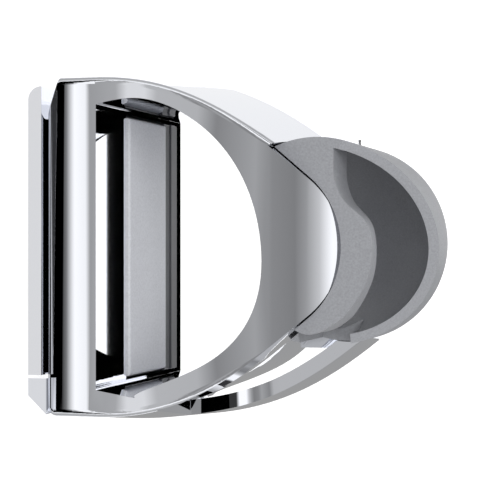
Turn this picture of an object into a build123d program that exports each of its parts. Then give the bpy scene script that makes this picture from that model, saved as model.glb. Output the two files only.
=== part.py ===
from build123d import *
import math
import os

# Shower rail slider, all sizes in millimetres.
# +Z runs up the rail, +X runs from the flat back of the rail to the cup, +Y is the closed side.
# The origin lies on the flat lower face, in the middle of the D-shaped rail passage.

# Rail passage: a D with its chord at the back and its bow towards the cup.
passage_width = 44.4
passage_depth = 26.0
passage_shoulder = 6.5
passage_swell = 0.7
passage_flank_x = 18.2
passage_flank_y = 17.5
passage_flank_lean = 50.0
height = 44.0

# Casting, given as three egg-shaped outlines: at the top, at the crease and at the bottom.
back_wall = 9.0
back_corner = 1.5
top_half_width = 26.3
top_nose_centre = 23.5
top_nose_radius = 14.0
crease_height = 26.0
crease_half_width = 28.2
crease_nose_centre = 26.0
crease_nose_radius = 17.5
foot_half_width = 30.0
foot_nose_centre = 26.0
foot_nose_radius = 19.0
nose_angle = 50.0
shell_wall = 2.4
collar_wall = 3.2
hood_underside = 31.0
crown_radius = 62.0
crown_centre_x = 9.0
crown_round = 1.2

# Window beside the collar on the open side, above the lower bow.
bow_height = 14.0
window_start = 10.0
window_corner = 12.0
closed_arm_end = 33.0
open_arm_end = 36.5
far = 70.0

# Cup for the hand shower.
cup_centre_x = 33.8
cup_centre_y = 0.6
cup_radius = 16.2
cup_foot_radius = 14.4
cup_wall = 1.5
cup_foot = 5.0
cup_clearance = 0.15
rim_front_height = 21.0
rim_slope_x = 0.75
rim_slope_y = 0.45
tongue_top = 38.2
tongue_thickness = 4.0
tongue_root_height = 23.0
tongue_reach = 42.4
tongue_mouth_edge = [(36.5, 11.4), (38.5, 6.6), (41.4, 3.8), (tongue_reach, -0.5), (41.6, -5.2),
                     (38.6, -10.0), (35.8, -12.2)]
tongue_open_edge = [(35.8, -12.2), (32.5, -13.4), (30.0, -12.4)]
tongue_back_edge = [(30.0, -12.4), (24.0, -6.0), (24.0, 15.5), (36.5, 15.5), (36.5, 11.4)]
seat_top = 19.0
outlet_x = 29.9
outlet_y = -1.6
outlet_half_depth = 5.7
outlet_half_width = 8.0
seat_wall = 1.6
back_skin = 1.6
hose_slot_start = 29.5
hose_slot_width = 7.0
hose_slot_edge = 10.8
hose_slot_low = 14.4
cup_back = 20.0

# Lugs and screws that hold the cup.
lug_thickness = 3.0
lug_start = 22.0
lug_half_width = 3.4
boss_x = 30.6
boss_y = 14.0
boss_diameter = 5.6
boss_height = 12.0
screw_diameter = 2.2
screw_head_diameter = 4.6
screw_head_height = 1.6
screw_length = 8.5
screw_room = 0.2
screw_seat = 0.15
screw_tip_gap = 1.0
head_recess = 2.0

# Clamp lever on the back.
lever_thickness = 2.2
lever_gap = 0.3
lever_top_y = 25.2
lever_free_y = -20.1
lever_margin = 1.2
lever_round = 2.1
end_block_gap = 0.5
end_block_outer_y = -25.4
end_block_inner_y = -26.2
joint_overlap = 0.5
pivot_y = 20.0
pivot_depth = 2.3
pin_diameter = 2.4
pin_clearance = 0.04
pin_low = 1.0
pin_high = 30.3
ear_radius = 2.1
ear_width = 5.0
ear_spacing = 15.0
ear_clearance = 0.35
nub_width = 6.0
nub_height = 8.0
nub_gap = 0.06
catch_depth = 1.8
catch_thickness = 1.4
catch_inset = 1.6
catch_half_height = 6.0
lever_swing = 20.0
relief_gap = 0.35
relief_start = 3.0
relief_length = 10.0

# Brake shoe: a hard carrier with a soft pad, let into the back wall of the passage.
shoe_low = 3.6
shoe_high = 29.0
shoe_half_width = 21.4
shoe_clearance = 0.25
carrier_thickness = 2.4
carrier_recess = 0.5
lip_height = 3.4
lip_rise = 0.5
ledge_rise = 0.2
pad_low = 10.0
pad_thickness = 1.1
pad_inset = 0.4
pad_gap = 0.1
pad_round = 0.4
web_thickness = 1.3
shoe_travel = 0.8
shoe_room = 0.3
pocket_half_height = 8.0
pocket_edge = -18.9
nub_room_open = 2.5
nub_room_closed = 1.5
nub_room_height = 0.6
ear_swing = 0.4

# Retracting studs and springs behind the shoe.
stud_diameter = 1.8
stud_y = 10.5
stud_head_diameter = 4.2
stud_head_height = 0.7
stud_clearance = 0.15
spring_outer = 3.8
spring_wire = 0.45
spring_turns = 3.0
spring_gap = 0.05

# Places that follow from the sizes above, measured from the middle of the passage.
chord_x = -passage_depth / 2
back_x = chord_x - back_wall
carrier_front_x = chord_x - carrier_recess
carrier_back_x = carrier_front_x - carrier_thickness
web_front_x = carrier_back_x - shoe_travel - shoe_room
web_back_x = web_front_x - web_thickness
shoe_middle = (shoe_low + shoe_high) / 2
pad_half_width = shoe_half_width - pad_inset
lever_inner_x = back_x - lever_gap
lever_outer_x = lever_inner_x - lever_thickness
pivot_x = back_x + pivot_depth
cup_x = chord_x + cup_centre_x
boss_place = chord_x + boss_x
lug_top = cup_foot - cup_clearance


def prism(face, low, high):
    """A flat face in the ground plane, raised from low to high."""
    return extrude(Pos(0, 0, low) * face, amount=high - low, dir=(0, 0, 1))


def block(x_low, x_high, y_low, y_high, z_low, z_high):
    """A box given by its two corners."""
    size = (x_high - x_low, y_high - y_low, z_high - z_low)
    middle = ((x_low + x_high) / 2, (y_low + y_high) / 2, (z_low + z_high) / 2)
    return Pos(*middle) * Box(*size)


def bar(x, y, z_low, z_high, diameter):
    """An upright round bar."""
    return Pos(x, y, (z_low + z_high) / 2) * Cylinder(diameter / 2, z_high - z_low)


def egg(half_width, nose_centre, nose_radius, inset=0.0):
    """The outline seen along the rail: square back, rounded corners, flanks that run into a round nose."""
    back = back_x + inset
    side = half_width - inset
    corner = back_corner
    centre = chord_x + nose_centre
    radius = nose_radius - inset
    turn = math.radians(nose_angle)
    nose_x = centre + radius * math.cos(turn)
    nose_y = radius * math.sin(turn)
    along = (math.sin(turn), -math.cos(turn))
    lines = Line((back, -side + corner), (back, side - corner))
    lines += RadiusArc((back, side - corner), (back + corner, side), corner)
    lines += Line((back + corner, side), (chord_x, side))
    lines += Spline((chord_x, side), (nose_x, nose_y), tangents=((1, 0), along))
    lines += ThreePointArc((nose_x, nose_y), (centre + radius, 0), (nose_x, -nose_y))
    lines += Spline((nose_x, -nose_y), (chord_x, -side), tangents=((-along[0], along[1]), (-1, 0)))
    lines += Line((chord_x, -side), (back + corner, -side))
    lines += RadiusArc((back + corner, -side), (back, -side + corner), corner)
    return make_face(lines)


def passage_outline(extra=0.0):
    """The D-shaped rail passage, widened all round by extra: a straight chord and one smooth bow."""
    back = chord_x - extra
    half = passage_width / 2 + extra
    shoulder = (chord_x + passage_shoulder, half + passage_swell)
    lean = math.radians(passage_flank_lean)
    flank = (chord_x + passage_flank_x + extra * math.cos(lean), passage_flank_y + extra * math.sin(lean))
    bow = chord_x + passage_depth + extra
    chord = Line((back, -half), (back, half))
    curve = Spline((back, half), shoulder, flank, (bow, 0), (flank[0], -flank[1]), (shoulder[0], -shoulder[1]),
                   (back, -half), tangents=((1, 0.15), (-1, 0.15)))
    return make_face(chord + curve)


def shell_form(inset, low, high):
    """The flared casting between two heights, drawn in from its outside by inset."""
    top = Pos(0, 0, high) * egg(top_half_width, top_nose_centre, top_nose_radius, inset)
    crease = Pos(0, 0, crease_height) * egg(crease_half_width, crease_nose_centre, crease_nose_radius, inset)
    foot = Pos(0, 0, low) * egg(foot_half_width, foot_nose_centre, foot_nose_radius, inset)
    return loft([foot, crease], ruled=True) + loft([crease, top], ruled=True)


def crown():
    """The arched top: a large cylinder that lies along Y."""
    axis_z = height - crown_radius
    long_cylinder = Rot(90, 0, 0) * Cylinder(crown_radius, 4 * foot_half_width)
    return Pos(chord_x + crown_centre_x, 0, axis_z) * long_cylinder


def cup_cylinder(clearance=0.0):
    """The upright tapering form that the cup is cut from."""
    radius = cup_radius + clearance
    foot = Pos(cup_x, cup_centre_y, cup_foot) * Circle(cup_foot_radius + clearance)
    shoulder = Pos(cup_x, cup_centre_y, crease_height - bow_height) * Circle(radius)
    upper = Pos(cup_x, cup_centre_y, 0) * prism(Circle(radius), crease_height - bow_height, height)
    return loft([foot, shoulder], ruled=True) + upper


def lever_window():
    """The stepped opening in the back wall that holds the shoe, its springs and the lever's ears."""
    grow = shoe_clearance
    recess = block(web_front_x, chord_x + 1, -shoe_half_width - grow, shoe_half_width + grow,
                   shoe_low - grow, shoe_high + grow)
    half_pocket = stud_y + spring_outer
    pocket = block(back_x - 1, web_back_x, pocket_edge, half_pocket,
                   shoe_middle - pocket_half_height, shoe_middle + pocket_half_height)
    half_nub_hole = nub_height / 2 + nub_room_height
    nub_hole = block(web_back_x - 1, web_front_x + 1, -nub_width / 2 - nub_room_open,
                     nub_width / 2 + nub_room_closed, shoe_middle - half_nub_hole, shoe_middle + half_nub_hole)
    opening = recess + pocket + nub_hole
    for side in (-1, 1):
        hole = Rot(0, 90, 0) * Cylinder(stud_diameter / 2 + stud_clearance, 4 * web_thickness)
        opening += Pos(web_back_x, side * stud_y, shoe_middle) * hole
        middle = shoe_middle + side * ear_spacing / 2
        half_ear = ear_width / 2 + ear_clearance
        room = ear_radius + ear_clearance
        opening += block(back_x - 1, pivot_x, pivot_y - room, pivot_y + room + ear_swing,
                         middle - half_ear, middle + half_ear)
        opening += bar(pivot_x, pivot_y, middle - half_ear, middle + half_ear, 2 * room)
    return opening


def hose_window():
    """The open side between the collar and the bow: all that stands above the bow, outside the collar."""
    start = chord_x + window_start
    points = [(start, height + 1), (start, bow_height), (far, bow_height), (far, height + 1)]
    opening = make_face(Polyline(*points, close=True))
    low_corner = opening.vertices().sort_by(Axis.X)[:2].sort_by(Axis.Y)[0]
    region = extrude(Plane.XZ * fillet(low_corner, window_corner), amount=far)
    keep = prism(egg(top_half_width, top_nose_centre, top_nose_radius), 0, height + 2)
    return region - keep


def lever_relief():
    """The slanting recess at the back corner that the short end of the opened lever swings into."""
    swing = math.radians(lever_swing)
    depth = pivot_x - lever_inner_x
    foot_x = pivot_x - (depth - relief_gap) * math.cos(swing)
    foot_y = pivot_y + (depth - relief_gap) * math.sin(swing)
    start = (foot_x - relief_start * math.sin(swing), foot_y - relief_start * math.cos(swing))
    end = (foot_x + relief_length * math.sin(swing), foot_y + relief_length * math.cos(swing))
    wedge = make_face(Polyline(start, end, (start[0], end[1]), close=True))
    return prism(wedge, lever_margin - relief_gap, height - lever_margin + relief_gap)


def end_block():
    """The fixed block that carries on the lever's outline, with a slanting outer corner."""
    near_y = lever_free_y - end_block_gap
    inner_x = back_x + joint_overlap
    points = [(inner_x, near_y), (lever_outer_x, near_y), (lever_outer_x, end_block_outer_y + lever_round),
              (inner_x, end_block_inner_y)]
    return prism(make_face(Polyline(*points, close=True)), lever_margin, height - lever_margin)


def make_body():
    """One chromed casting: collar, hood, closed shoulder, bow and the box behind the passage."""
    body = shell_form(0, 0, height) & crown()
    top = max(body.faces(), key=lambda face: face.center().Z)
    body = fillet(top.edges(), crown_round)
    hollow = shell_form(shell_wall, -0.01, height) & block(chord_x + 1, far, -far, far, -1, hood_underside)
    collar = prism(passage_outline(collar_wall), -1, height)
    body -= hollow - collar
    body -= hose_window()
    front = block(chord_x + closed_arm_end, far, 0, far, -1, height + 1)
    front += block(chord_x + open_arm_end, far, -far, 0.01, -1, height + 1)
    hood = prism(egg(top_half_width, top_nose_centre, top_nose_radius), hood_underside, height + 1)
    body -= front - hood
    body -= cup_cylinder(cup_clearance) - collar - hood
    for side in (-1, 1):
        middle = side * boss_y
        lug = block(chord_x + lug_start, boss_place + boss_diameter / 2, middle - lug_half_width,
                    middle + lug_half_width, lug_top - lug_thickness, lug_top)
        body += lug
        body -= bar(boss_place, middle, -1, cup_foot + 1, screw_diameter + 2 * screw_room)
        body -= bar(boss_place, middle, -1, head_recess, screw_head_diameter + 3 * screw_room)
    body -= prism(passage_outline(), -2, height + 2)
    body -= lever_window() + lever_relief()
    body -= bar(pivot_x, pivot_y, -1, pin_high, pin_diameter)
    return body + end_block()


def tongue_outline():
    """The tongue over the cup: it follows the nose, with an S-shaped edge towards the mouth."""
    mouth = [(chord_x + x, y) for x, y in tongue_mouth_edge]
    open_side = [(chord_x + x, y) for x, y in tongue_open_edge]
    back = [(chord_x + x, y) for x, y in tongue_back_edge]
    lines = Spline(*mouth, tangents=((0.1, -1), (-1, -0.6)))
    lines += Spline(*open_side, tangents=((-1, -0.6), (-1, 0.8)))
    lines += Polyline(*back)
    return make_face(lines)


def rim_cut():
    """Everything above the sloping rim, which falls towards the front and the open side."""
    slab = Pos(0, 0, far / 2) * Box(2 * far, 2 * far, far)
    lean_y = math.degrees(math.atan(rim_slope_x))
    lean_x = math.degrees(math.atan(rim_slope_y))
    return Pos(cup_x + cup_radius, 0, rim_front_height) * Rot(lean_x, lean_y, 0) * slab


def outlet(extra=0.0):
    """The oval that the hose leaves through, under the tongue."""
    oval = Ellipse(outlet_half_depth + extra, outlet_half_width + extra)
    return Pos(chord_x + outlet_x, outlet_y, 0) * oval


def seat_cone(extra=0.0):
    """The seat of the shower's cone: it leans from the round mouth back to the oval outlet."""
    mouth = Pos(cup_x, cup_centre_y, seat_top) * Circle(cup_radius - cup_wall + extra)
    return loft([Pos(0, 0, cup_foot) * outlet(extra), mouth], ruled=True)


def cup_room():
    """The room inside the cup: the seat, the mouth above it and the slanting underside of the tongue."""
    back = chord_x + passage_depth + collar_wall + cup_clearance + back_skin
    roof = tongue_top - tongue_thickness
    edge = chord_x + tongue_reach
    points = [(back, -1), (far, -1), (far, roof), (edge, roof), (back, tongue_root_height)]
    region = extrude(Plane.XZ * make_face(Polyline(*points, close=True)), amount=far, both=True)
    room = prism(outlet(), -1, cup_foot) + seat_cone()
    room += bar(cup_x, cup_centre_y, seat_top, height, 2 * (cup_radius - cup_wall))
    return region & room


def cup_core():
    """The hollow between the seat and the outer skirt, open from below."""
    core = bar(cup_x, cup_centre_y, -1, seat_top, 2 * (cup_radius - cup_wall)) & cup_cylinder(-cup_wall)
    return core - seat_cone(seat_wall)


def make_cup():
    """The plastic cup: an open C-shaped seat with a tongue that hugs the nose of the casting."""
    clear = cup_clearance
    form = cup_cylinder()
    tongue = prism(tongue_outline(), 0, height)
    mouth = rim_cut() - tongue
    form -= mouth
    form &= block(chord_x + cup_back, far, -far, far, 0, tongue_top)
    form -= cup_core()
    for side in (-1, 1):
        form += bar(boss_place, side * boss_y, cup_foot, cup_foot + boss_height, boss_diameter) & cup_cylinder()
        form -= bar(boss_place, side * boss_y, cup_foot - 1, cup_foot + screw_length, screw_diameter)
    form -= bar(cup_x, cup_centre_y, seat_top, height + 1, 2 * (cup_radius - cup_wall)) - tongue
    form -= cup_room()
    form -= prism(passage_outline(collar_wall + clear), -1, height)
    nose = egg(top_half_width + clear, top_nose_centre, top_nose_radius + clear)
    form -= prism(nose, hood_underside - clear, height + 1)
    slot_x = chord_x + hose_slot_start
    form -= block(slot_x, slot_x + hose_slot_width, -far, -hose_slot_edge, hose_slot_low, height) - tongue
    return form


def make_lever():
    """The clamp lever: a flat plate with two ears on the pin, a nub behind the shoe and a catch."""
    high = height - lever_margin
    plate = block(lever_outer_x, lever_inner_x, lever_free_y, lever_top_y, lever_margin, high)
    corner = plate.edges().filter_by(Axis.Z).sort_by(Axis.X)[:2].sort_by(Axis.Y)[-1]
    lever = fillet(corner, lever_round)
    for side in (-1, 1):
        middle = shoe_middle + side * ear_spacing / 2
        ear = bar(pivot_x, pivot_y, middle - ear_width / 2, middle + ear_width / 2, 2 * ear_radius)
        ear += block(lever_inner_x - joint_overlap, pivot_x, pivot_y - ear_radius, pivot_y + ear_radius,
                     middle - ear_width / 2, middle + ear_width / 2)
        lever += ear
    lever += block(lever_inner_x - joint_overlap, carrier_back_x - nub_gap, -nub_width / 2, nub_width / 2,
                   shoe_middle - nub_height / 2, shoe_middle + nub_height / 2)
    catch_y = lever_free_y + catch_inset
    lever += block(lever_inner_x - joint_overlap, back_x + catch_depth, catch_y, catch_y + catch_thickness,
                   shoe_middle - catch_half_height, shoe_middle + catch_half_height)
    return lever - bar(pivot_x, pivot_y, -1, height, pin_diameter + 2 * pin_clearance)


def make_pin():
    """The steel pin that the lever turns on, pushed in from below."""
    return bar(pivot_x, pivot_y, pin_low, pin_high, pin_diameter)


def make_carrier():
    """The hard carrier: a plate with a raised lower ledge and a lip, and a seat for the pad."""
    plate = block(carrier_back_x, carrier_front_x, -shoe_half_width, shoe_half_width, shoe_low, shoe_high)
    ledge = block(carrier_back_x, chord_x + ledge_rise, -shoe_half_width, shoe_half_width,
                  shoe_low + lip_height, pad_low)
    lip = block(carrier_back_x, chord_x + lip_rise, -shoe_half_width, shoe_half_width,
                shoe_low, shoe_low + lip_height)
    return plate + ledge + lip


def make_pad():
    """The soft brake pad, with rounded long edges."""
    pad = block(carrier_front_x, carrier_front_x + pad_thickness, -pad_half_width, pad_half_width,
                pad_low + pad_gap, shoe_high)
    face = pad.faces().sort_by(Axis.X)[-1]
    return fillet(face.edges(), pad_round)


def make_stud(side):
    """A headed stud that draws the carrier back, standing on the carrier."""
    head_inner_x = web_back_x - spring_length() - 2 * spring_gap
    shank_length = carrier_back_x - head_inner_x
    turn = Rot(0, 90, 0)
    shank = Pos((carrier_back_x + head_inner_x) / 2, 0, 0) * turn * Cylinder(stud_diameter / 2, shank_length)
    head = turn * Cylinder(stud_head_diameter / 2, stud_head_height)
    head = Pos(head_inner_x - stud_head_height / 2, 0, 0) * head
    return Pos(0, side * stud_y, shoe_middle) * (shank + head)


def spring_length():
    """The clamped length of a retracting spring: what is left between web and stud head."""
    room = web_back_x - back_x
    return room - shoe_travel - stud_head_height - 3 * spring_gap


def make_spring(side):
    """A short coil spring round the stud, with flat ends of its own wire."""
    length = spring_length()
    radius = (spring_outer - spring_wire) / 2
    rise = length - spring_wire
    path = Helix(pitch=rise / spring_turns, height=rise, radius=radius)
    section = Plane(origin=path @ 0, z_dir=path % 0) * Circle(spring_wire / 2)
    coil = sweep(section, path=path)
    lying = Rot(0, -90, 0) * coil
    return Pos(web_back_x - spring_wire / 2 - spring_gap, side * stud_y, shoe_middle) * lying


def make_screw(side):
    """A pan-head screw that holds the cup from below."""
    head_top = lug_top - lug_thickness + screw_seat
    tip = cup_foot + screw_length - screw_tip_gap
    head = bar(boss_place, side * boss_y, head_top - screw_head_height, head_top, screw_head_diameter)
    shank = bar(boss_place, side * boss_y, head_top - screw_seat, tip, screw_diameter)
    return head + shank


os.makedirs("parts", exist_ok=True)
parts = {
    "body": make_body(),
    "cup": make_cup(),
    "clamp_lever": make_lever(),
    "lever_pin": make_pin(),
    "shoe_carrier": make_carrier(),
    "brake_pad": make_pad(),
    "stud_closed_side": make_stud(1),
    "stud_open_side": make_stud(-1),
    "spring_closed_side": make_spring(1),
    "spring_open_side": make_spring(-1),
    "screw_closed_side": make_screw(1),
    "screw_open_side": make_screw(-1),
}
for name, solid in parts.items():
    export_step(solid, os.path.join("parts", name + ".step"))
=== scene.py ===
import math

import bmesh
import bpy
import numpy as np
from mathutils import Matrix, Vector


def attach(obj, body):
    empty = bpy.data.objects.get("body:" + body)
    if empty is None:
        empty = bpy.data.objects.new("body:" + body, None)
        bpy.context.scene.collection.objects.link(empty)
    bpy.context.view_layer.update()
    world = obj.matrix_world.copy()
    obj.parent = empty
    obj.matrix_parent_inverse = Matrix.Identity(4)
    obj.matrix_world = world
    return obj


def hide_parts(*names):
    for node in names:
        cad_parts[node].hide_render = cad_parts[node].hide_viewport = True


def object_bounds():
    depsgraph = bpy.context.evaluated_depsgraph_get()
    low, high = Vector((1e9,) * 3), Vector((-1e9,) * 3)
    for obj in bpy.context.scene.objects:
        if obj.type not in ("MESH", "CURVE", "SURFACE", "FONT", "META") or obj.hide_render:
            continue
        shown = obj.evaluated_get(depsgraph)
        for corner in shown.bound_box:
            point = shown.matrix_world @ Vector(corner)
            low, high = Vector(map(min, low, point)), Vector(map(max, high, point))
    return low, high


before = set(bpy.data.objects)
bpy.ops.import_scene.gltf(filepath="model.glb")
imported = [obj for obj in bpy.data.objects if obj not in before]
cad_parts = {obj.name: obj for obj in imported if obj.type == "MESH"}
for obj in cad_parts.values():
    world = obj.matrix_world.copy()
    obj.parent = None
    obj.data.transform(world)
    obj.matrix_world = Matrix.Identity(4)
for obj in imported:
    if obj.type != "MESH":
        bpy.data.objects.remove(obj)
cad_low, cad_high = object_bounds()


# The casting: the collar round the rail, the hood, the closed shoulder and the low bow are one piece of zinc,
# cast, polished and chromed to a mirror. Its edges are broken by polishing.
body_edge = 0.00022
sharp_edge = math.radians(28)
chrome_colour = (0.88, 0.895, 0.94, 1)
chrome_roughness = 0.025


def plain_finish(name, colour, roughness, metallic=0.0):
    """A material of one colour and one roughness, where metallic is 1 for bare or plated metal."""
    material = bpy.data.materials.new(name)
    material.use_nodes = True
    shader = material.node_tree.nodes["Principled BSDF"]
    shader.inputs["Base Color"].default_value = colour
    shader.inputs["Metallic"].default_value = metallic
    shader.inputs["Roughness"].default_value = roughness
    return material


def polished_copy(node, edge, merge_distance=1e-6, segments=3):
    """The CAD node's own form, its triangles joined and its sharp edges rounded as polishing leaves them.
    Every corner keeps the direction that the true curved surface has there."""
    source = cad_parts[node].data
    directions = np.zeros(3 * len(source.loops), np.float32)
    source.corner_normals.foreach_get("vector", directions)
    mesh = source.copy()
    mesh.name = node + "_polished"
    joined = bmesh.new()
    joined.from_mesh(mesh)
    bmesh.ops.remove_doubles(joined, verts=joined.verts, dist=merge_distance)
    joined.to_mesh(mesh)
    joined.free()
    # A triangle that closes up in the joining would shift the corners, and then the plain directions stay.
    if len(mesh.loops) == len(source.loops):
        mesh.normals_split_custom_set(directions.reshape(-1, 3).tolist())
    mesh.materials.clear()
    piece = bpy.data.objects.new(node + "_finished", mesh)
    bpy.context.scene.collection.objects.link(piece)
    rounding = piece.modifiers.new("rounding", "BEVEL")
    rounding.width = edge
    rounding.segments = segments
    rounding.limit_method = "ANGLE"
    rounding.angle_limit = sharp_edge
    rounding.harden_normals = True
    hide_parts(node)
    return piece


body = polished_copy("body", body_edge)
body.data.materials.append(plain_finish("mirror_chrome", chrome_colour, chrome_roughness, metallic=1.0))
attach(body, "root")


# The clamp lever: a thin die-cast plate with ears on its hinge pin, a nub that presses the shoe and a catch,
# chromed like the casting.
lever_edge = 0.00022
lever_colour = (0.89, 0.90, 0.935, 1)
lever_roughness = 0.05
lever = polished_copy("clamp_lever", lever_edge)
lever.data.materials.append(plain_finish("lever_chrome", lever_colour, lever_roughness, metallic=1.0))
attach(lever, "lever")


# The cup: one moulding of matte grey plastic with a fine spark-eroded skin. Its tongue follows the casting's
# nose, and two screws from below hold it to the casting's lugs.
cup_edge = 0.0003
cup_colour = (0.33, 0.337, 0.36, 1)
cup_roughness = 0.5
cup_speck_scale = 3500.0
cup_speck_contrast = 0.22
cup_skin_scale = 9000.0
cup_skin_height = 0.00002


def fine_grain(material, colour, scale, contrast):
    """A grain of slightly lighter and darker specks, read from the piece's own coordinates."""
    tree = material.node_tree
    place = tree.nodes.new("ShaderNodeTexCoord")
    noise = tree.nodes.new("ShaderNodeTexNoise")
    noise.inputs["Scale"].default_value = scale
    noise.inputs["Detail"].default_value = 1.0
    mix = tree.nodes.new("ShaderNodeMix")
    mix.data_type = "RGBA"
    dark, light = (tuple(part * (1 + side * contrast) for part in colour[:3]) + (1,) for side in (-1, 1))
    mix.inputs["A"].default_value = dark
    mix.inputs["B"].default_value = light
    tree.links.new(place.outputs["Object"], noise.inputs["Vector"])
    tree.links.new(noise.outputs["Fac"], mix.inputs["Factor"])
    tree.links.new(mix.outputs["Result"], tree.nodes["Principled BSDF"].inputs["Base Color"])


def fine_bump(material, scale, height):
    """A very low relief of fine noise, read from the piece's own coordinates."""
    tree = material.node_tree
    place = tree.nodes.new("ShaderNodeTexCoord")
    noise = tree.nodes.new("ShaderNodeTexNoise")
    noise.inputs["Scale"].default_value = scale
    bump = tree.nodes.new("ShaderNodeBump")
    bump.inputs["Distance"].default_value = height
    tree.links.new(place.outputs["Object"], noise.inputs["Vector"])
    tree.links.new(noise.outputs["Fac"], bump.inputs["Height"])
    tree.links.new(bump.outputs["Normal"], tree.nodes["Principled BSDF"].inputs["Normal"])


cup_plastic = plain_finish("grey_plastic", cup_colour, cup_roughness)
fine_grain(cup_plastic, cup_colour, cup_speck_scale, cup_speck_contrast)
fine_bump(cup_plastic, cup_skin_scale, cup_skin_height)
cup = polished_copy("cup", cup_edge)
cup.data.materials.append(cup_plastic)
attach(cup, "root")


# The shoe carrier: a moulding of hard black plastic in the stepped opening of the casting's back wall, with a
# lip at its lower end. It hangs on two headed studs and carries the brake pad.
carrier_edge = 0.0002
carrier_colour = (0.11, 0.112, 0.12, 1)
carrier_roughness = 0.35
carrier_skin_scale = 8000.0
carrier_skin_height = 0.00001
carrier_plastic = plain_finish("dark_plastic", carrier_colour, carrier_roughness)
fine_bump(carrier_plastic, carrier_skin_scale, carrier_skin_height)
carrier = polished_copy("shoe_carrier", carrier_edge)
carrier.data.materials.append(carrier_plastic)
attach(carrier, "shoe")


# The brake pad: a strip of matte light grey rubber, fixed on the carrier's face, which the lever presses
# against the flat side of the rail. The CAD node keeps its own form and gets the rubber here.
pad_colour = (0.77, 0.78, 0.81, 1)
pad_roughness = 0.7
pad_speck_scale = 3500.0
pad_speck_contrast = 0.16
pad_skin_scale = 7000.0
pad_skin_height = 0.00003


def dress_nodes(names, material):
    """Gives CAD nodes whose form is right one material, and leaves their meshes as they are."""
    for name in names:
        node_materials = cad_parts[name].data.materials
        node_materials.clear()
        node_materials.append(material)


pad_rubber = plain_finish("pad_rubber", pad_colour, pad_roughness)
fine_grain(pad_rubber, pad_colour, pad_speck_scale, pad_speck_contrast)
fine_bump(pad_rubber, pad_skin_scale, pad_skin_height)
dress_nodes(["brake_pad"], pad_rubber)


# The small steel parts: the lever's hinge pin, the two headed studs on the shoe carrier, and the two screws
# that hold the cup. They are turned from stainless bar and left bare.
steel_colour = (0.55, 0.55, 0.56, 1)
steel_roughness = 0.28
steel_skin_scale = 6000.0
steel_skin_height = 0.000004
turned_steel = plain_finish("turned_steel", steel_colour, steel_roughness, metallic=1.0)
fine_bump(turned_steel, steel_skin_scale, steel_skin_height)
turned_parts = ["lever_pin", "stud_closed_side", "stud_open_side", "screw_closed_side", "screw_open_side"]
dress_nodes(turned_parts, turned_steel)


# The two springs: short coils of drawn steel wire, one round each stud, between the casting's back wall and
# the stud's head. They draw the shoe off the rail when the lever is opened.
wire_colour = (0.42, 0.41, 0.40, 1)
wire_roughness = 0.38
spring_wire = plain_finish("spring_wire", wire_colour, wire_roughness, metallic=1.0)
dress_nodes(["spring_closed_side", "spring_open_side"], spring_wire)


# The camera stands above the rail's upper end, on the cup's side, and looks down the rail passage.
# Its place was worked out from the passage, whose edges run to one point in the photograph.
# Its distances are taken from the flat side of the passage, at the upper end.
passage_back_x = -0.013
passage_top_z = 0.044
camera_turn = math.radians(15.7)
camera_offset_x = 0.0915
camera_distance_z = 0.244
picture_pixels = 480
focal_pixels = 1680.0
optical_row = 247.0
camera_shift = 3.0
nearest_seen = 0.01
camera_data = bpy.data.cameras.new("camera")
camera_data.sensor_fit = "HORIZONTAL"
camera_data.lens = focal_pixels / picture_pixels * camera_data.sensor_width
camera_data.shift_x = camera_shift / picture_pixels
camera_data.shift_y = (optical_row - picture_pixels / 2) / picture_pixels
camera_data.clip_start = nearest_seen
camera = bpy.data.objects.new("camera", camera_data)
bpy.context.scene.collection.objects.link(camera)
right = Vector((math.cos(camera_turn), 0, -math.sin(camera_turn)))
up = Vector((0, 1, 0))
backwards = Vector((math.sin(camera_turn), 0, math.cos(camera_turn)))
camera_axes = Matrix((right, up, backwards)).transposed()
camera_place = Vector((passage_back_x + camera_offset_x, 0, passage_top_z + camera_distance_z))
camera.matrix_world = Matrix.Translation(camera_place) @ camera_axes.to_4x4()
bpy.context.scene.camera = camera


# The floor: a pale matt sheet well below the slider, which hangs on its rail in use. It glows for the camera
# and for mirrors, so that it shows nearly white, and its glow lights nothing.
floor_half = 2.0
floor_drop = 0.12
floor_colour = (0.95, 0.95, 0.95, 1)
floor_roughness = 0.9
floor_glow = 0.42
white = (1, 1, 1, 1)
floor_z = cad_low[2] - floor_drop


def flat_sheet(name, corners, material):
    """One flat face through four corners, as a piece of its own."""
    mesh = bpy.data.meshes.new(name)
    mesh.from_pydata(corners, [], [(0, 1, 2, 3)])
    mesh.materials.append(material)
    piece = bpy.data.objects.new(name, mesh)
    bpy.context.scene.collection.objects.link(piece)
    return piece


def seen_rays(tree):
    """One for the rays that see the background itself: the camera's, a mirror's and a glass's."""
    path = tree.nodes.new("ShaderNodeLightPath")
    camera_or_mirror = tree.nodes.new("ShaderNodeMath")
    camera_or_mirror.operation = "MAXIMUM"
    all_three = tree.nodes.new("ShaderNodeMath")
    all_three.operation = "MAXIMUM"
    tree.links.new(path.outputs["Is Camera Ray"], camera_or_mirror.inputs[0])
    tree.links.new(path.outputs["Is Glossy Ray"], camera_or_mirror.inputs[1])
    tree.links.new(camera_or_mirror.outputs[0], all_three.inputs[0])
    tree.links.new(path.outputs["Is Transmission Ray"], all_three.inputs[1])
    return all_three.outputs[0]


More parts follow.
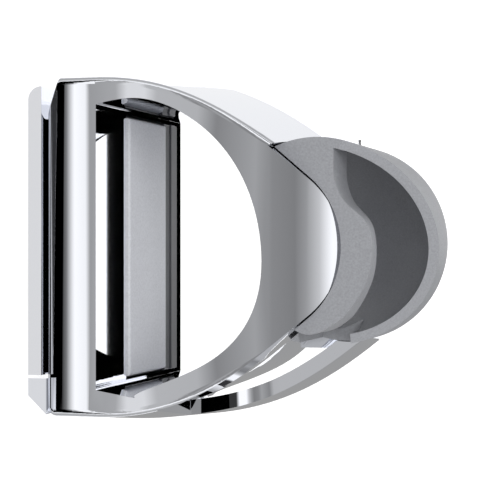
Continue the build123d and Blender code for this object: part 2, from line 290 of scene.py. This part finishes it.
pale_floor = plain_finish("pale_floor", floor_colour, floor_roughness)
floor_tree = pale_floor.node_tree
floor_shader = floor_tree.nodes["Principled BSDF"]
floor_shader.inputs["Specular IOR Level"].default_value = 0.0
floor_shader.inputs["Emission Color"].default_value = white
glow = floor_tree.nodes.new("ShaderNodeMath")
glow.operation = "MULTIPLY"
glow.inputs[1].default_value = floor_glow
floor_tree.links.new(seen_rays(floor_tree), glow.inputs[0])
floor_tree.links.new(glow.outputs[0], floor_shader.inputs["Emission Strength"])
floor_corners = [(-floor_half, -floor_half, floor_z), (floor_half, -floor_half, floor_z),
                 (floor_half, floor_half, floor_z), (-floor_half, floor_half, floor_z)]
flat_sheet("floor", floor_corners, pale_floor)


# The surround: even soft light from every side. The camera and mirrors see it at full white, and the slider
# is lit by less, so that its greys keep their own tone.
surround_level = 0.60
full_white = 1.0
world = bpy.data.worlds.new("surround")
bpy.context.scene.world = world
world.use_nodes = True
world_tree = world.node_tree
world_light = world_tree.nodes["Background"]
world_light.inputs["Color"].default_value = white
level = world_tree.nodes.new("ShaderNodeMapRange")
level.inputs["To Min"].default_value = surround_level
level.inputs["To Max"].default_value = full_white
world_tree.links.new(seen_rays(world_tree), level.inputs["Value"])
world_tree.links.new(level.outputs["Result"], world_light.inputs["Strength"])


# Cards on the floor that only mirrors see, each with its reach in X and Y and its brightness. The black ones
# darken the passage's wall and the end of the low bow, and the grey ones shade the bow and the hood's flank.
floor_cards = [("passage_card", (0.016, 0.0447), (-0.034, 0.050), 0.0),
               ("bow_card", (-0.070, 0.060), (-0.120, -0.0345), 0.33),
               ("bow_side_card", (0.056, 0.19), (-0.12, -0.02), 0.28),
               ("bow_end_card", (0.19, 1.80), (-0.30, -0.02), 0.0),
               ("flank_card", (-0.060, 0.080), (0.084, 0.150), 0.95)]
card_lift = 0.001
card_roughness = 0.5
black = (0, 0, 0, 1)


def card_finish(name, bright):
    """A black card without a sheen, which glows as brightly as is asked."""
    material = plain_finish(name, black, card_roughness)
    shader = material.node_tree.nodes["Principled BSDF"]
    shader.inputs["Specular IOR Level"].default_value = 0.0
    shader.inputs["Emission Color"].default_value = white
    shader.inputs["Emission Strength"].default_value = bright
    return material


def mirror_only(piece):
    """Hides a stage piece from everything but mirrors, so that it neither shows nor lights anything."""
    piece.visible_camera = False
    piece.visible_diffuse = False
    piece.visible_shadow = False
    piece.visible_transmission = False


card_z = floor_z + card_lift
for card_name, (low_x, high_x), (low_y, high_y), bright in floor_cards:
    card_corners = [(low_x, low_y, card_z), (high_x, low_y, card_z),
                    (high_x, high_y, card_z), (low_x, high_y, card_z)]
    mirror_only(flat_sheet(card_name, card_corners, card_finish(card_name, bright)))


# The black flag: a sheet of black cloth that stands upright at the foot of the wall, beyond the cup, where
# only mirrors see it. It makes the black mark on the low bow.
flag_x, flag_low_y, flag_high_y, flag_top = 1.75, -0.32, -0.02, 0.85
flag_corners = [(flag_x, flag_low_y, floor_z), (flag_x, flag_high_y, floor_z),
                (flag_x, flag_high_y, flag_top), (flag_x, flag_low_y, flag_top)]
mirror_only(flat_sheet("end_flag", flag_corners, card_finish("black_cloth", bright=0.0)))


# The ring and the wall: a wide grey ring on the floor, white beside the slider, and a low grey wall behind
# it, which only mirrors see, so that chrome seen from the sides stands out from the white. Each stop gives
# the distance from the Z axis, or the height above the slider's foot, and the brightness there.
ring_lift = 0.0005
ring_steps = 96
ring_stops = [(0.15, 1.0), (0.21, 0.80), (0.30, 0.50), (0.48, 0.34), (0.90, 0.46), (1.85, 0.60)]
wall_height = 0.62
wall_stops = [(0.0, 0.42), (0.20, 0.60), (wall_height, 0.95)]


def turned_band(name, rings, steps):
    """A band turned about Z from pairs of radius and height: (r cos a, r sin a, z) for a full turn of a."""
    around = np.linspace(0.0, 2.0 * np.pi, steps, endpoint=False)
    radius, height = np.array(rings).T
    places = np.stack([np.outer(radius, np.cos(around)), np.outer(radius, np.sin(around)),
                       np.outer(height, np.ones(steps))], axis=2).reshape(-1, 3)
    row_starts = np.arange(len(rings) - 1)[:, None] * steps
    first = (row_starts + np.arange(steps)).ravel()
    after = (row_starts + (np.arange(steps) + 1) % steps).ravel()
    faces = np.stack([first, after, after + steps, first + steps], axis=1)
    mesh = bpy.data.meshes.new(name)
    mesh.from_pydata(places.tolist(), [], faces.tolist())
    piece = bpy.data.objects.new(name, mesh)
    bpy.context.scene.collection.objects.link(piece)
    return piece


def stage_measure(tree, measure):
    """The distance from the Z axis, the height Z, or the angle from overhead towards +X: atan2(X, Z)."""
    place = tree.nodes.new("ShaderNodeTexCoord")
    parts = tree.nodes.new("ShaderNodeSeparateXYZ")
    tree.links.new(place.outputs["Object"], parts.inputs[0])
    if measure == "height":
        return parts.outputs["Z"]
    if measure == "angle":
        angle = tree.nodes.new("ShaderNodeMath")
        angle.operation = "ARCTAN2"
        tree.links.new(parts.outputs["X"], angle.inputs[0])
        tree.links.new(parts.outputs["Z"], angle.inputs[1])
        return angle.outputs[0]
    across = tree.nodes.new("ShaderNodeCombineXYZ")
    radius = tree.nodes.new("ShaderNodeVectorMath")
    radius.operation = "LENGTH"
    tree.links.new(parts.outputs["X"], across.inputs["X"])
    tree.links.new(parts.outputs["Y"], across.inputs["Y"])
    tree.links.new(across.outputs[0], radius.inputs[0])
    return radius.outputs["Value"]


def graded_glow(name, stops, measure):
    """A material that only glows, as bright as the stops say for one measure of the place."""
    material = bpy.data.materials.new(name)
    material.use_nodes = True
    tree = material.node_tree
    tree.nodes.clear()
    lowest, highest = stops[0][0], stops[-1][0]
    share = tree.nodes.new("ShaderNodeMapRange")
    share.inputs["From Min"].default_value = lowest
    share.inputs["From Max"].default_value = highest
    ramp = tree.nodes.new("ShaderNodeValToRGB")
    elements = ramp.color_ramp.elements
    for number, (where, bright) in enumerate(stops):
        position = (where - lowest) / (highest - lowest)
        stop = elements[number] if number < 2 else elements.new(position)
        stop.position = position
        stop.color = (bright, bright, bright, 1)
    light = tree.nodes.new("ShaderNodeEmission")
    output = tree.nodes.new("ShaderNodeOutputMaterial")
    tree.links.new(stage_measure(tree, measure), share.inputs["Value"])
    tree.links.new(share.outputs["Result"], ramp.inputs["Fac"])
    tree.links.new(ramp.outputs["Color"], light.inputs["Color"])
    tree.links.new(light.outputs[0], output.inputs["Surface"])
    return material


ring_inner, ring_outer = ring_stops[0][0], ring_stops[-1][0]
ring_z = floor_z + ring_lift
ring = turned_band("floor_ring", [(ring_inner, ring_z), (ring_outer, ring_z)], ring_steps)
ring.data.materials.append(graded_glow("ring_glow", ring_stops, "radius"))
mirror_only(ring)
wall = turned_band("low_wall", [(ring_outer, floor_z), (ring_outer, wall_height)], ring_steps)
wall.data.materials.append(graded_glow("wall_glow", wall_stops, "height"))
mirror_only(wall)


# The soft lamp: a square of soft light high on the cup's side, turned to the slider. It reaches down the rail
# passage to the brake pad, and mirrors don't see it.
lamp_size = 0.35
lamp_power = 2.3
lamp_place = Vector((0.42, 0.05, 0.62))
lamp_data = bpy.data.lights.new("soft_lamp", "AREA")
lamp_data.shape = "SQUARE"
lamp_data.size = lamp_size
lamp_data.energy = lamp_power
lamp = bpy.data.objects.new("soft_lamp", lamp_data)
lamp.location = lamp_place
lamp.rotation_euler = (-lamp_place).to_track_quat("-Z", "Y").to_euler()
lamp.visible_glossy = False
bpy.context.scene.collection.objects.link(lamp)


# The light tent: an arch of cloth over the rail's upper end, lit in stripes along Y, that only mirrors see.
# Its cross-section is (r sin a, r cos a) in X and Z, carried along Y. Each stop gives the angle a in degrees
# from overhead, towards the cup when positive, and how bright the cloth is there.
tent_radius = 1.9
tent_length = 6.0
tent_steps = 96
tent_stops = [(-80.0, 0.0), (-49.5, 0.0), (-47.5, 0.20), (-44.5, 1.10), (-40.6, 1.0), (-39.4, 0.36),
              (-30.0, 0.42), (-26.0, 0.76), (-20.0, 0.76), (-16.0, 0.50), (-3.0, 0.48), (3.0, 0.26),
              (15.0, 0.38), (20.0, 0.27), (27.0, 0.23), (31.0, 0.36), (35.0, 0.60), (39.0, 1.10),
              (50.0, 1.10), (55.0, 0.04), (76.0, 0.04), (80.0, 0.5)]
tent_angles = np.radians(np.linspace(tent_stops[0][0], tent_stops[-1][0], tent_steps + 1))
arch = np.stack([np.sin(tent_angles), np.zeros_like(tent_angles), np.cos(tent_angles)], axis=1) * tent_radius
along = np.array([0.0, tent_length / 2, 0.0])
index = np.arange(tent_steps)
quads = np.stack([index, index + 1, index + tent_steps + 2, index + tent_steps + 1], axis=1)
tent_mesh = bpy.data.meshes.new("light_tent")
tent_mesh.from_pydata(np.concatenate([arch - along, arch + along]).tolist(), [], quads.tolist())
tent_glow_stops = [(math.radians(angle), bright) for angle, bright in tent_stops]
tent_mesh.materials.append(graded_glow("tent_cloth", tent_glow_stops, "angle"))
tent = bpy.data.objects.new("light_tent", tent_mesh)
bpy.context.scene.collection.objects.link(tent)
mirror_only(tent)


# The colours are shown as they are lit.
bpy.context.scene.view_settings.view_transform = "Standard"
